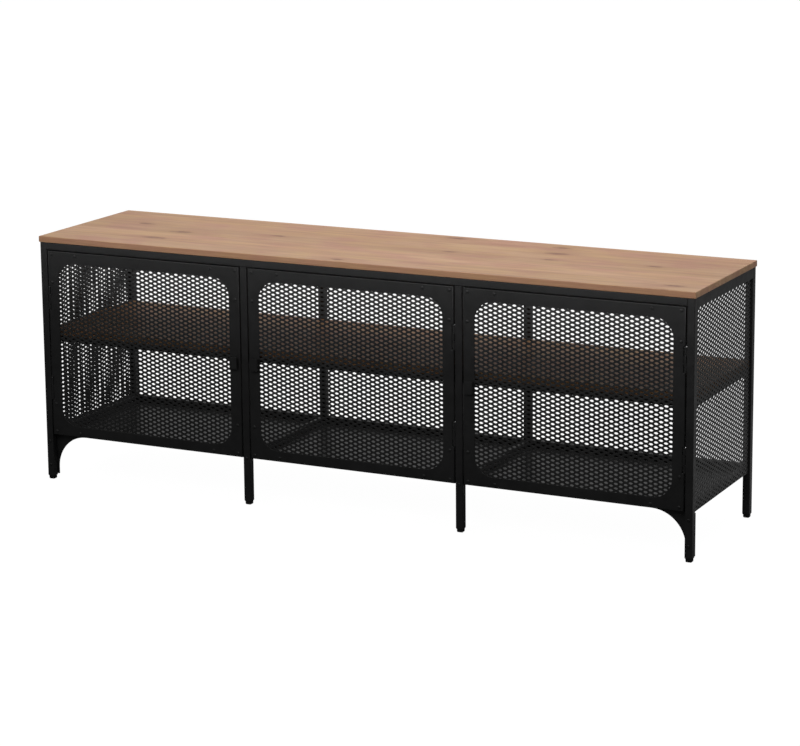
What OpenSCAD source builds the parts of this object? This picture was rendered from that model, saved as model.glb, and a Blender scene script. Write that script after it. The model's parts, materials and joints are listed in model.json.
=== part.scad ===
// Low three-door media bench: a steel tube frame with a pine top and shelf,
// expanded-metal sides and three expanded-metal doors on pin hinges.
// Millimetres. +Z up, +X along the bench, the doors face -Y.
// The origin is the bottom centre of the whole bench's box, pulls included.

/* [Overall] */
// Length of the top board
overall_length = 1500; // [1300:10:1700]
// Depth of the top board
overall_depth = 360; // [320:5:420]
// Height from the floor to the top of the top board
overall_height = 540; // [480:5:620]
// Thickness of the top board
top_thickness = 13; // [10:1:24]
// How far the top board stands past the posts all round
top_lip = 2; // [0:0.5:6]

/* [Steel frame] */
// Side of the square post and rail tube
tube_side = 16; // [14:1:20]
// Wall of every steel tube
tube_wall = 1.2; // [1:0.1:2]
// Height of the bottom frame's underside above the floor
bottom_frame_height = 97.5; // [80:0.5:130]
// Depth of the top side rails, measured downwards
side_top_rail_height = 22; // [16:1:30]
// Width of the bottom side rails, across the bench
side_bottom_rail_width = 12; // [10:1:14]
// How far the side mesh is set in from the posts' outer faces
side_mesh_inset = 4; // [2:0.5:5]
// Side of the square tube under the shelf
shelf_tube_side = 12; // [10:1:14]
// Thickness of the bottom panel's sheet
bottom_panel_thickness = 1.2; // [0.8:0.1:2]

/* [Shelf] */
// Height of the shelf's upper face above the floor
shelf_height = 335; // [250:5:400]
// Thickness of the shelf board
shelf_thickness = 15.5; // [12:0.5:20]

/* [Doors] */
// Height of the doors' bottom edge above the floor
door_bottom = 102; // [101:0.5:106]
// Gap between a door and the top rail
door_top_gap = 1.5; // [1:0.5:5]
// Gap between a door's side edge and the post beside it
door_side_gap = 2.5; // [2.3:0.1:4]
// Depth of a door, front face to back edge
door_depth = 10; // [8.5:0.5:12]
// Thickness of the doors' pressed sheet
door_sheet = 1.5; // [1:0.1:2]
// Width of the doors' stiles
stile_width = 25; // [20:1:40]
// Height of the doors' upper rail
door_top_rail = 25.5; // [18:0.5:40]
// Height of the doors' lower rail
door_bottom_rail = 22.5; // [18:0.5:40]
// Corner radius of the door windows
window_radius = 40; // [20:1:60]
// Angle that a door opens
door_swing = 95; // [60:5:105]

/* [Mesh] */
// Thickness of the expanded-metal sheets
mesh_thickness = 1.2; // [0.8:0.1:2]
// Distance between neighbouring columns of mesh holes
mesh_column_pitch = 41.6; // [31.2:0.4:62.4]
// Distance between the holes of one column
mesh_row_pitch = 37.2; // [27.9:0.3:55.8]
// Width of the strands between the holes
mesh_strand = 6.4; // [4.8:0.2:9.6]

/* [Gussets] */
// Radius of the concave edge of the two corner gussets
gusset_radius = 72; // [50:1:90]
// Thickness of the gusset plates
gusset_thickness = 2.5; // [1.5:0.5:4]
// Height of the gussets' lower end above the floor
gusset_bottom = 10; // [10:1:40]

/* [Feet] */
// Height of the visible part of a foot
foot_height = 9; // [6:1:20]

/* [Hinges] */
// Radius of the hinge barrels
barrel_radius = 2.5; // [2.2:0.1:2.5]
// Radius of the hinge pins
pin_radius = 1.2; // [1:0.05:1.3]
// Radial play between a pin and its door knuckle
pin_play = 0.05; // [0.02:0.01:0.08]
// Length of one hinge knuckle
knuckle_length = 16; // [12:1:20]
// Height of the lower hinges' middle
lower_hinge_height = 205; // [200:5:220]
// Height of the upper hinges' middle
upper_hinge_height = 405; // [380:5:408]

/* [Pulls] */
// Width of a finger pull
pull_width = 18; // [14:1:22]
// Height of a finger pull
pull_height = 26; // [20:1:40]
// How far a pull stands out in front of its door
pull_projection = 8; // [6:1:16]
// Thickness of the pulls' sheet
pull_sheet = 2; // [1.5:0.5:3]

/* [Hidden] */
$fn = 32;

// Places across the depth: the pulls are the foremost part of the box
pull_overhang = pull_projection - top_lip;
board_front = -(overall_depth + pull_overhang) / 2 + pull_overhang;
board_rear = board_front + overall_depth;
post_front = board_front + top_lip;
post_rear = board_rear - top_lip;
inner_front = post_front + tube_side;
inner_rear = post_rear - tube_side;
inner_depth = inner_rear - inner_front;
middle_y = (board_front + board_rear) / 2;

// Places across the length
post_outer = overall_length / 2 - top_lip;
post_inner = post_outer - tube_side;
post_x = post_outer - tube_side / 2;
bay_pitch = 2 * post_x / 3;
mid_post_x = bay_pitch / 2;
bay_width = bay_pitch - tube_side;
side_rail_outer = post_outer - side_mesh_inset - mesh_thickness;
side_rail_inner = side_rail_outer - side_bottom_rail_width;

// Heights
board_bottom = overall_height - top_thickness;
top_rail_bottom = board_bottom - tube_side;
side_top_rail_bottom = board_bottom - side_top_rail_height;
bottom_rail_top = bottom_frame_height + tube_side;
panel_top = bottom_frame_height + bottom_panel_thickness;
shelf_bottom = shelf_height - shelf_thickness;
shelf_rail_bottom = shelf_bottom - shelf_tube_side;

// Doors
door_width = bay_width - 2 * door_side_gap;
door_top = top_rail_bottom - door_top_gap;
door_height = door_top - door_bottom;
door_back = post_front + door_depth;
sheet_back = post_front + door_sheet;
door_xs = [-bay_pitch, 0, bay_pitch];
door_sides = [-1, 1, 1];
window_width = door_width - 2 * stile_width;
window_height = door_height - door_top_rail - door_bottom_rail;
window_middle_z = door_bottom + door_bottom_rail + window_height / 2;
mesh_margin = 7;

// Rivets: three in each door corner, through an L-shaped corner plate
rivet_inset_x = 9.5;
rivet_inset_z = 8;
rivet_reach = 69;
rivet_head_radius = 3.6;
rivet_head_height = 1.5;
rivet_radius = 1.8;
rivet_hole_radius = 1.9;
corner_plate_thickness = 1.5;
corner_plate_leg = 74;
corner_plate_width = 13;
corner_plate_inset = 2.5;

// Hinges
hinge_axis_x = bay_width / 2 - 3;
hinge_axis_y = post_front + barrel_radius;
knuckle_gap = 0.5;
hinge_length = 3 * knuckle_length + 2 * knuckle_gap;
hinge_notch_length = hinge_length + 3;
hinge_notch_x = hinge_axis_x - barrel_radius - 1;
hinge_leaf_width = 9;
hinge_leaf_thickness = 1.5;
post_leaf_thickness = 3;
pin_cap_radius = 2.2;
pin_cap_height = 0.8;
hinge_heights = [lower_hinge_height, upper_hinge_height];

// Catches
catch_size = [40, 14, 12];
catch_gap = 0.3;
catch_offset = 60;
magnet_size = [24, 1, 6];
strike_size = [40, 1.5, 14];

// Screws
frame_screw_radius = 1.8;
frame_screw_head_radius = 3.4;
frame_screw_head_height = 1.6;
frame_screw_hole_radius = 1.9;
gusset_screw_heights = [33, 86];
mid_post_screw_height = 101.5;
board_screw_radius = 2;
board_screw_head_radius = 4;
board_screw_head_height = 2.5;
board_screw_hole_radius = 2.1;
board_screw_depth = 9.5;
board_screw_y = 100;
side_board_screw_x = (side_rail_inner + side_rail_outer) / 2;
board_screw_xs = [-side_board_screw_x, -mid_post_x, mid_post_x, side_board_screw_x];

// Feet
foot_play = 0.1;
foot_side = tube_side - 2 * tube_wall - 2 * foot_play;
foot_flange_side = tube_side - 1;
foot_flange_height = 1.5;
foot_stem_length = 16;
foot_chamfer = 2;

steel_colour = [0.13, 0.135, 0.14];
mesh_colour = [0.22, 0.225, 0.23];
pine_colour = [0.72, 0.58, 0.48];
plastic_colour = [0.08, 0.08, 0.08];
bright_steel_colour = [0.55, 0.56, 0.58];

// ---- Shared shapes ----

// A box from its lowest to its highest corner
module box(low, high) {
    translate(low) cube(high - low);
}

// A square or rectangular tube along one axis, open at both ends
module tube(low, high, along) {
    open = [for (i = [0:2]) i == along ? -1 : tube_wall];
    difference() {
        box(low, high);
        box(low + open, high - open);
    }
}

// A cylinder along Y from y0 to y1
module rod_y(x, z, y0, y1, r) {
    translate([x, y0, z]) rotate([-90, 0, 0]) cylinder(r = r, h = y1 - y0);
}

// A rectangle with round corners, centred on the origin
module rounded_rectangle(width, height, r) {
    square([width - 2 * r, height], center = true);
    square([width, height - 2 * r], center = true);
    for (sx = [-1, 1], sy = [-1, 1])
        translate([sx * (width / 2 - r), sy * (height / 2 - r)]) circle(r = r);
}

// Puts a flat outline drawn in X and Z upright, from y0 to y1
module upright(y0, y1) {
    translate([0, y1, 0]) rotate([90, 0, 0]) linear_extrude(y1 - y0) children();
}

// One six-sided mesh hole, longer across than high
module mesh_hole() {
    half_w = (2 * mesh_column_pitch * 0.62 - mesh_strand) / 2;
    half_h = (mesh_row_pitch - mesh_strand) / 2;
    flat = half_w * 0.42;
    polygon([[-half_w, 0], [-flat, half_h], [flat, half_h], [half_w, 0], [flat, -half_h], [-flat, -half_h]]);
}

// Whether a hole at x, y keeps its strands inside a width by height sheet with corner radius r
function hole_fits(x, y, width, height, r) =
    let (ax = abs(x) + mesh_column_pitch * 0.66, ay = abs(y) + mesh_row_pitch * 0.55)
    ax <= width / 2 && ay <= height / 2
    && (ax < width / 2 - r || ay < height / 2 - r
        || norm([ax - width / 2 + r, ay - height / 2 + r]) < r * 1.12);

// The outline of an expanded sheet: columns of holes, every other one half a pitch lower
module mesh_outline(width, height, r) {
    columns = floor(width / 2 / mesh_column_pitch);
    rows = floor(height / 2 / mesh_row_pitch) + 1;
    difference() {
        if (r > 0) rounded_rectangle(width, height, r);
        else square([width, height], center = true);
        for (i = [-columns:columns], j = [-rows:rows]) {
            x = i * mesh_column_pitch;
            y = (j + (abs(i) % 2) / 2) * mesh_row_pitch;
            if (hole_fits(x, y, width, height, r)) translate([x, y]) mesh_hole();
        }
    }
}

// ---- Boards and panel ----

module top_board() {
    color(pine_colour) difference() {
        box([-overall_length / 2, board_front, board_bottom], [overall_length / 2, board_rear, overall_height]);
        at_board_screws() translate([0, 0, board_bottom - 1])
            cylinder(r = board_screw_hole_radius, h = board_screw_depth + 1.5);
    }
}

module shelf_board() {
    end_gap = 0.5;
    color(pine_colour)
        box([-side_rail_outer + end_gap, inner_front, shelf_bottom],
            [side_rail_outer - end_gap, inner_rear, shelf_height]);
}

module bottom_panel() {
    color(steel_colour)
        box([-side_rail_inner, inner_front + tube_side, bottom_frame_height],
            [side_rail_inner, inner_rear, panel_top]);
}

// ---- Posts ----

// A square post; a front post has screw holes, and a corner post runs up to the board
module post(x, front, corner) {
    y0 = front ? post_front : inner_rear;
    screws = !front ? [] : corner ? gusset_screw_heights : [mid_post_screw_height];
    color(steel_colour) difference() {
        tube([x - tube_side / 2, y0, foot_height],
             [x + tube_side / 2, y0 + tube_side, corner ? board_bottom : top_rail_bottom], 2);
        for (z = screws)
            rod_y(x, z, y0 - 1, y0 + tube_side + 1, frame_screw_hole_radius);
    }
}

// ---- Rails ----

module long_top_rail(y0) {
    color(steel_colour)
        tube([-post_inner, y0, top_rail_bottom], [post_inner, y0 + tube_side, board_bottom], 0);
}

module side_top_rail(side) {
    low_x = side > 0 ? post_inner : -post_outer;
    color(steel_colour) difference() {
        tube([low_x, inner_front, side_top_rail_bottom], [low_x + tube_side, inner_rear, board_bottom], 1);
        at_board_screws() translate([0, 0, side_top_rail_bottom - 1])
            cylinder(r = board_screw_hole_radius, h = side_top_rail_height + 2);
    }
}

module top_cross_rails() {
    color(steel_colour) difference() {
        for (side = [-1, 1])
            tube([side * mid_post_x - tube_side / 2, inner_front, top_rail_bottom],
                 [side * mid_post_x + tube_side / 2, inner_rear, board_bottom], 1);
        at_board_screws() translate([0, 0, top_rail_bottom - 1])
            cylinder(r = board_screw_hole_radius, h = tube_side + 2);
    }
}

module front_bottom_rail() {
    color(steel_colour) difference() {
        tube([-side_rail_inner, inner_front, bottom_frame_height],
             [side_rail_inner, inner_front + tube_side, bottom_rail_top], 0);
        for (side = [-1, 1])
            rod_y(side * mid_post_x, mid_post_screw_height, inner_front - 1, inner_front + tube_wall + 1,
                  frame_screw_hole_radius);
    }
}

// Three lengths, one between each pair of rear posts
module rear_bottom_rails() {
    color(steel_colour)
        for (x = door_xs)
            tube([x - bay_width / 2, inner_rear, bottom_frame_height],
                 [x + bay_width / 2, post_rear, bottom_rail_top], 0);
}

module side_bottom_rail(side) {
    low_x = side > 0 ? side_rail_inner : -side_rail_outer;
    color(steel_colour)
        tube([low_x, inner_front, bottom_frame_height],
             [low_x + side_bottom_rail_width, inner_rear, bottom_rail_top], 1);
}

// Two tubes that stand on the bottom panel, in line with the mid posts
module bottom_cross_rails() {
    half = shelf_tube_side / 2;
    color(steel_colour)
        for (side = [-1, 1])
            tube([side * mid_post_x - half, inner_front + tube_side, panel_top],
                 [side * mid_post_x + half, inner_rear, bottom_rail_top], 1);
}

module shelf_long_rail(y0) {
    color(steel_colour)
        tube([-side_rail_inner, y0, shelf_rail_bottom], [side_rail_inner, y0 + shelf_tube_side, shelf_bottom], 0);
}

module shelf_side_rails() {
    color(steel_colour)
        for (side = [-1, 1]) {
            low_x = side > 0 ? side_rail_inner : -side_rail_outer;
            tube([low_x, inner_front, shelf_rail_bottom],
                 [low_x + side_bottom_rail_width, inner_rear, shelf_bottom], 1);
        }
}

module shelf_cross_rails() {
    half = shelf_tube_side / 2;
    color(steel_colour)
        for (side = [-1, 1])
            tube([side * mid_post_x - half, inner_front + shelf_tube_side, shelf_rail_bottom],
                 [side * mid_post_x + half, inner_rear - shelf_tube_side, shelf_bottom], 1);
}

// ---- Side meshes and gussets ----

module side_mesh(side) {
    height = side_top_rail_bottom - bottom_frame_height;
    low_x = side > 0 ? side_rail_outer : -side_rail_outer - mesh_thickness;
    color(mesh_colour)
        translate([low_x, middle_y, bottom_frame_height + height / 2])
        rotate([90, 0, 90]) linear_extrude(mesh_thickness)
        mesh_outline(inner_depth, height, 0);
}

// A flat plate behind the front corner post, cut away in a quarter circle under the bottom rail
module gusset(side) {
    tangent_x = post_inner - 3;
    color(steel_colour) mirror([side > 0 ? 0 : 1, 0, 0]) difference() {
        upright(inner_front, inner_front + gusset_thickness) difference() {
            translate([tangent_x - gusset_radius, gusset_bottom])
                square([post_outer - tangent_x + gusset_radius, bottom_frame_height - gusset_bottom]);
            translate([tangent_x - gusset_radius, bottom_frame_height - gusset_radius])
                circle(r = gusset_radius, $fn = 96);
            translate([tangent_x - gusset_radius - 1, 0])
                square([gusset_radius + 1, bottom_frame_height - gusset_radius]);
        }
        for (z = gusset_screw_heights)
            rod_y(post_x, z, inner_front - 1, inner_front + gusset_thickness + 1, frame_screw_hole_radius);
    }
}

// ---- Feet ----

// A chamfered plastic plug: the tube stands on its flange and its stem fills the tube
module foot(x, y) {
    lower = foot_side - 2 * foot_chamfer;
    translate([x, y, 0]) {
        hull() {
            translate([-lower / 2, -lower / 2, 0]) cube([lower, lower, foot_chamfer]);
            translate([-foot_side / 2, -foot_side / 2, foot_chamfer])
                cube([foot_side, foot_side, foot_height - foot_flange_height - foot_chamfer]);
        }
        translate([-foot_flange_side / 2, -foot_flange_side / 2, foot_height - foot_flange_height])
            cube([foot_flange_side, foot_flange_side, foot_flange_height]);
        translate([-foot_side / 2, -foot_side / 2, foot_height])
            cube([foot_side, foot_side, foot_stem_length]);
    }
}

module feet(y) {
    color(plastic_colour)
        for (x = [-post_x, -mid_post_x, mid_post_x, post_x]) foot(x, y);
}

// ---- Fasteners ----

// Places its children under each of the eight screws that hold the top board
module at_board_screws() {
    for (x = board_screw_xs, y = [-board_screw_y, board_screw_y])
        translate([x, middle_y + y, 0]) children();
}

module top_board_screws() {
    color(bright_steel_colour)
        for (x = board_screw_xs, y = [-board_screw_y, board_screw_y]) {
            rail_bottom = abs(x) > mid_post_x + 1 ? side_top_rail_bottom : top_rail_bottom;
            translate([x, middle_y + y, rail_bottom - board_screw_head_height]) {
                cylinder(r = board_screw_head_radius, h = board_screw_head_height);
                cylinder(r = board_screw_radius,
                         h = board_bottom + board_screw_depth - rail_bottom + board_screw_head_height);
            }
        }
}

// A domed head in front of y0 and a shank back to y1
module domed_screw(x, z, y0, y1, head_radius, head_height, shank_radius) {
    sphere_radius = (head_radius * head_radius + head_height * head_height) / (2 * head_height);
    translate([x, y0, z]) rotate([90, 0, 0]) rotate_extrude()
        intersection() {
            translate([0, head_height - sphere_radius]) circle(r = sphere_radius, $fn = 96);
            square([head_radius, head_height]);
        }
    rod_y(x, z, y0, y1, shank_radius);
}

module frame_screws() {
    color(steel_colour)
        for (side = [-1, 1]) {
            for (z = gusset_screw_heights)
                domed_screw(side * post_x, z, post_front, inner_front + gusset_thickness,
                            frame_screw_head_radius, frame_screw_head_height, frame_screw_radius);
            domed_screw(side * mid_post_x, mid_post_screw_height, post_front, inner_front + tube_wall,
                        frame_screw_head_radius, frame_screw_head_height, frame_screw_radius);
        }
}

// ---- Doors: drawn for a bay centred on x = 0 with the hinges on the right, then placed ----

module at_door(i) {
    translate([door_xs[i], 0, 0]) mirror([door_sides[i] > 0 ? 0 : 1, 0, 0]) children();
}

module at_every_door() {
    for (i = [0:2]) at_door(i) children();
}

module at_rivets() {
    middle_z = (door_bottom + door_top) / 2;
    corner_x = door_width / 2 - rivet_inset_x;
    corner_z = door_height / 2 - rivet_inset_z;
    reach_x = door_width / 2 - rivet_reach;
    reach_z = door_height / 2 - rivet_reach;
    for (sx = [-1, 1], sz = [-1, 1], p = [[corner_x, corner_z], [reach_x, corner_z], [corner_x, reach_z]])
        translate([sx * p[0], 0, middle_z + sz * p[1]]) children();
}

// A pressed frame: a flat front with a round-cornered window and a folded edge all round
module door_frame() {
    half = door_width / 2;
    color(steel_colour) difference() {
        union() {
            upright(post_front, sheet_back) difference() {
                translate([0, (door_bottom + door_top) / 2]) square([door_width, door_height], center = true);
                translate([0, window_middle_z]) rounded_rectangle(window_width, window_height, window_radius);
            }
            upright(sheet_back, door_back) difference() {
                translate([0, (door_bottom + door_top) / 2]) square([door_width, door_height], center = true);
                translate([0, (door_bottom + door_top) / 2])
                    square([door_width - 2 * door_sheet, door_height - 2 * door_sheet], center = true);
            }
        }
        for (z = hinge_heights)
            box([hinge_notch_x, post_front - 1, z - hinge_notch_length / 2],
                [half + 1, door_back + 1, z + hinge_notch_length / 2]);
        at_rivets() rod_y(0, 0, post_front - 1, sheet_back + 1, rivet_hole_radius);
    }
}

module door_mesh() {
    color(mesh_colour)
        upright(sheet_back, sheet_back + mesh_thickness)
        translate([0, window_middle_z])
        mesh_outline(window_width + 2 * mesh_margin, window_height + 2 * mesh_margin, window_radius + mesh_margin);
}

// Four L-shaped plates behind the corners, one leg along the rail and one up the stile
module door_corner_plates() {
    reach_x = door_width / 2 - corner_plate_inset;
    reach_z = door_height / 2 - corner_plate_inset;
    color(steel_colour) difference() {
        upright(sheet_back, sheet_back + corner_plate_thickness)
            for (sx = [0, 1], sz = [0, 1])
                translate([0, (door_bottom + door_top) / 2]) mirror([sx, 0]) mirror([0, sz]) {
                    translate([reach_x - corner_plate_leg, reach_z - corner_plate_width])
                        square([corner_plate_leg, corner_plate_width]);
                    translate([reach_x - corner_plate_width, reach_z - corner_plate_leg])
                        square([corner_plate_width, corner_plate_leg]);
                }
        at_rivets() rod_y(0, 0, sheet_back - 1, sheet_back + corner_plate_thickness + 1, rivet_hole_radius);
    }
}

module door_rivets() {
    tail_height = 1;
    back = sheet_back + corner_plate_thickness;
    color(steel_colour) at_rivets() {
        domed_screw(0, 0, post_front, back + tail_height, rivet_head_radius, rivet_head_height, rivet_radius);
        rod_y(0, 0, back, back + tail_height, rivet_head_radius - 0.8);
    }
}

// A folded tab on the free stile: welded foot, wall and a lip that points at the door's free edge
module door_pull() {
    inner_x = -door_width / 2 + stile_width - 2;
    z0 = (door_bottom + door_top) / 2 - pull_height / 2;
    z1 = z0 + pull_height;
    front = post_front - pull_projection;
    color(steel_colour) {
        box([inner_x - pull_sheet, front, z0], [inner_x, post_front, z1]);
        box([inner_x - pull_width, front, z0], [inner_x - pull_sheet, front + pull_sheet, z1]);
    }
}

// The middle knuckle of each hinge with a leaf that is welded behind the stile
module door_knuckles() {
    color(steel_colour) for (z = hinge_heights) difference() {
        union() {
            translate([hinge_axis_x, hinge_axis_y, z - knuckle_length / 2])
                cylinder(r = barrel_radius, h = knuckle_length);
            box([hinge_notch_x - hinge_leaf_width, sheet_back, z - knuckle_length / 2],
                [hinge_axis_x, sheet_back + hinge_leaf_thickness, z + knuckle_length / 2]);
        }
        translate([hinge_axis_x, hinge_axis_y, z - knuckle_length / 2 - 1])
            cylinder(r = pin_radius + pin_play, h = knuckle_length + 2);
    }
}

module door_strike() {
    x = -door_width / 2 + catch_offset;
    color(steel_colour)
        box([x - strike_size[0] / 2, door_back - strike_size[1], door_top - door_sheet - strike_size[2]],
            [x + strike_size[0] / 2, door_back, door_top - door_sheet]);
}

// The two outer knuckles of each hinge, with a block that is welded to the post
module post_hinge_knuckles() {
    step = knuckle_length + knuckle_gap;
    color(steel_colour) at_every_door() for (z = hinge_heights, s = [-1, 1]) difference() {
        union() {
            translate([hinge_axis_x, hinge_axis_y, z + s * step - knuckle_length / 2])
                cylinder(r = barrel_radius, h = knuckle_length);
            box([hinge_axis_x, hinge_axis_y - post_leaf_thickness / 2, z + s * step - knuckle_length / 2],
                [bay_width / 2, hinge_axis_y + post_leaf_thickness / 2, z + s * step + knuckle_length / 2]);
        }
        translate([hinge_axis_x, hinge_axis_y, z + s * step - knuckle_length / 2 - 1])
            cylinder(r = pin_radius, h = knuckle_length + 2);
    }
}

module hinge_pins() {
    color(bright_steel_colour) at_every_door() for (z = hinge_heights) {
        translate([hinge_axis_x, hinge_axis_y, z - hinge_length / 2])
            cylinder(r = pin_radius, h = hinge_length);
        translate([hinge_axis_x, hinge_axis_y, z + hinge_length / 2])
            cylinder(r = pin_cap_radius, h = pin_cap_height);
    }
}

// Catch bodies under the front top rail, with a pocket for the magnet in front
module magnetic_catches() {
    x = -door_width / 2 + catch_offset;
    front = door_back + catch_gap;
    color(plastic_colour) at_every_door() difference() {
        box([x - catch_size[0] / 2, front, top_rail_bottom - catch_size[2]],
            [x + catch_size[0] / 2, front + catch_size[1], top_rail_bottom]);
        box([x - magnet_size[0] / 2, front - 1, top_rail_bottom - catch_size[2] + 1],
            [x + magnet_size[0] / 2, front + magnet_size[1], top_rail_bottom - catch_size[2] + 1 + magnet_size[2]]);
    }
}

module catch_magnets() {
    x = -door_width / 2 + catch_offset;
    front = door_back + catch_gap;
    color(bright_steel_colour) at_every_door()
        box([x - magnet_size[0] / 2, front, top_rail_bottom - catch_size[2] + 1],
            [x + magnet_size[0] / 2, front + magnet_size[1], top_rail_bottom - catch_size[2] + 1 + magnet_size[2]]);
}

// ---- Nodes ----

top_board();
shelf_board();
bottom_panel();
post(-post_x, true, true);  // post_front_left
post(-mid_post_x, true, false);  // post_front_mid_left
post(mid_post_x, true, false);  // post_front_mid_right
post(post_x, true, true);  // post_front_right
post(-post_x, false, true);  // post_rear_left
post(-mid_post_x, false, false);  // post_rear_mid_left
post(mid_post_x, false, false);  // post_rear_mid_right
post(post_x, false, true);  // post_rear_right
long_top_rail(post_front);  // front_top_rail
long_top_rail(inner_rear);  // rear_top_rail
side_top_rail(-1);  // side_top_rail_left
side_top_rail(1);  // side_top_rail_right
top_cross_rails();
front_bottom_rail();
rear_bottom_rails();
side_bottom_rail(-1);  // side_bottom_rail_left
side_bottom_rail(1);  // side_bottom_rail_right
bottom_cross_rails();
shelf_long_rail(inner_front);  // shelf_rail_front
shelf_long_rail(inner_rear - shelf_tube_side);  // shelf_rail_rear
shelf_side_rails();
shelf_cross_rails();
side_mesh(-1);  // side_mesh_left
side_mesh(1);  // side_mesh_right
gusset(-1);  // gusset_left
gusset(1);  // gusset_right
feet(post_front + tube_side / 2);  // feet_front
feet(post_rear - tube_side / 2);  // feet_rear
frame_screws();
top_board_screws();
post_hinge_knuckles();
hinge_pins();
magnetic_catches();
catch_magnets();
at_door(0) door_frame();  // door_left_frame
at_door(0) door_mesh();  // door_left_mesh
at_door(0) door_corner_plates();  // door_left_corner_plates
at_door(0) door_rivets();  // door_left_rivets
at_door(0) door_pull();  // door_left_pull
at_door(0) door_knuckles();  // door_left_knuckles
at_door(0) door_strike();  // door_left_strike
at_door(1) door_frame();  // door_middle_frame
at_door(1) door_mesh();  // door_middle_mesh
at_door(1) door_corner_plates();  // door_middle_corner_plates
at_door(1) door_rivets();  // door_middle_rivets
at_door(1) door_pull();  // door_middle_pull
at_door(1) door_knuckles();  // door_middle_knuckles
at_door(1) door_strike();  // door_middle_strike
at_door(2) door_frame();  // door_right_frame
at_door(2) door_mesh();  // door_right_mesh
at_door(2) door_corner_plates();  // door_right_corner_plates
at_door(2) door_rivets();  // door_right_rivets
at_door(2) door_pull();  // door_right_pull
at_door(2) door_knuckles();  // door_right_knuckles
at_door(2) door_strike();  // door_right_strike
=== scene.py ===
"""The looks of the three-door media bench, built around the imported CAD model.

Metres, +Z up, +X along the bench; the doors face -Y. Every size comes from the CAD nodes' boxes or
from the named values below.
"""

import json
import math

import bmesh
import bpy
from mathutils import Matrix, Vector

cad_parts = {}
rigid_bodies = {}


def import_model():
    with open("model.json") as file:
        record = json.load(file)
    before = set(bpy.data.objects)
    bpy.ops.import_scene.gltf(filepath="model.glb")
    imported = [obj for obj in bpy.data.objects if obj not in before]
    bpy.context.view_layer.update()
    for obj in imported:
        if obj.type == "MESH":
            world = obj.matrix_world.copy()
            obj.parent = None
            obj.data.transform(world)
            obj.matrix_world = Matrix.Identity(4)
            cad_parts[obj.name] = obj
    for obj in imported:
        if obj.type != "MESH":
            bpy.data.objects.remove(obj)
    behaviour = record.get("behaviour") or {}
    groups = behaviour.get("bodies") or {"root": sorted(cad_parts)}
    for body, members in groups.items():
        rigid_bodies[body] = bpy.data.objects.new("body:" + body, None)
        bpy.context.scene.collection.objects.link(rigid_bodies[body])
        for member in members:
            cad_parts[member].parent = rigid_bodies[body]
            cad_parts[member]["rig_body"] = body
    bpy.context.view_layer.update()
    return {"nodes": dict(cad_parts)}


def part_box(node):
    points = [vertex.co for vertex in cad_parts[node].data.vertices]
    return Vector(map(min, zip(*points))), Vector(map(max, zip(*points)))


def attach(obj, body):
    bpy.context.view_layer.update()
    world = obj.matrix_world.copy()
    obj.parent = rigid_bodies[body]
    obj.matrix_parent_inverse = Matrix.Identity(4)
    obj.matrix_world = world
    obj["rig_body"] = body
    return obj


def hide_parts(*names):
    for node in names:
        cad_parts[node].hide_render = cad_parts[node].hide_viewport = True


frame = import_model()
NODES = frame["nodes"]
BODY_OF = {name: node["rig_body"] for name, node in NODES.items()}
MM = 0.001
DOORS = ("door_left", "door_middle", "door_right")
SHARP_ANGLE = 35.0

# Camera
CAMERA_PLACE = (2.4579, -4.8567, 1.5516)
CAMERA_YAW = math.radians(25.678)
CAMERA_PITCH = math.radians(11.011)
CAMERA_ROLL = math.radians(-0.345)
CAMERA_LENS = 119.2
CAMERA_SHIFT = (-0.05, -0.129)

# Expanded metal: holes in columns, every other column half a row higher
MESH_COLUMN = 10.4 * MM
MESH_ROW = 9.3 * MM
MESH_SHEET = 1.2 * MM
MESH_HOLE_HALF_WIDTH = 4.75 * MM
MESH_HOLE_HALF_HEIGHT = 2.25 * MM
MESH_HOLE_FLAT = 1.8 * MM
MESH_TILE_FLAT = 3.5 * MM
MESH_BORDER = 1.2 * MM
MESH_TWIST = 0.4 * MM
MESH_EASE = 0.22 * MM
MESH_HIDDEN_MARGIN = 7 * MM
MESH_WINDOW_LAP = 3 * MM
MESH_SHARP_ANGLE = 50.0
WINDOW_RADIUS = 40 * MM

# Steel
TUBE_WALL = 1.2 * MM
TUBE_CORNER = 1.8 * MM
DOOR_SHEET = 1.5 * MM
DOOR_FOLD = 2.0 * MM
SHEET_EASE = 0.3 * MM
PULL_SHEET = 2.0 * MM
PULL_BEND = 2.6 * MM
PULL_EASE = 0.4 * MM
NOTCH_HALF_LENGTH = 25.5 * MM
NOTCH_CLEARANCE = 1.0 * MM
BARREL_RADIUS = 2.5 * MM
PACKED_NODE_EASE = 0.3 * MM

# Powder coat: the orange peel's cycles a metre, and its depth
PEEL_CYCLES = 1100.0
PEEL_DEPTH = 0.04 * MM

# Rivets and screws
RIVET_HEAD_HEIGHT = 1.5 * MM
RIVET_FLAT_RADIUS = 0.6 * MM
RIVET_TAIL_HEIGHT = 1.0 * MM
RIVET_TAIL_STEP = 0.8 * MM
RIVET_TAIL_EASE = 0.3 * MM
SCREW_HEAD_HEIGHT = 1.6 * MM
SCREW_FLAT_RADIUS = 1.9 * MM
SCREW_SHANK_SHARE = 0.52
SCREW_SOCKET = (1.5 * MM, 0.9 * MM)
HEAD_BRIM = 0.3 * MM

# Feet: how far the sole steps in at each height, and the flange under the tube
SOLE_STEPS = ((2.2 * MM, 0.0), (1.1 * MM, 0.25 * MM), (0.35 * MM, 1.0 * MM), (0.0, 2.4 * MM))
FOOT_FLANGE = (7.5 * MM, 9.0 * MM)
FOOT_FLANGE_WIDTH = 1.0 * MM
FOOT_CORNER = 1.8 * MM

# Boards
TOP_EASE = 1.6 * MM
SHELF_EASE = 1.0 * MM
TOP_STAVES = 5
SHELF_STAVES = 4

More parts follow.
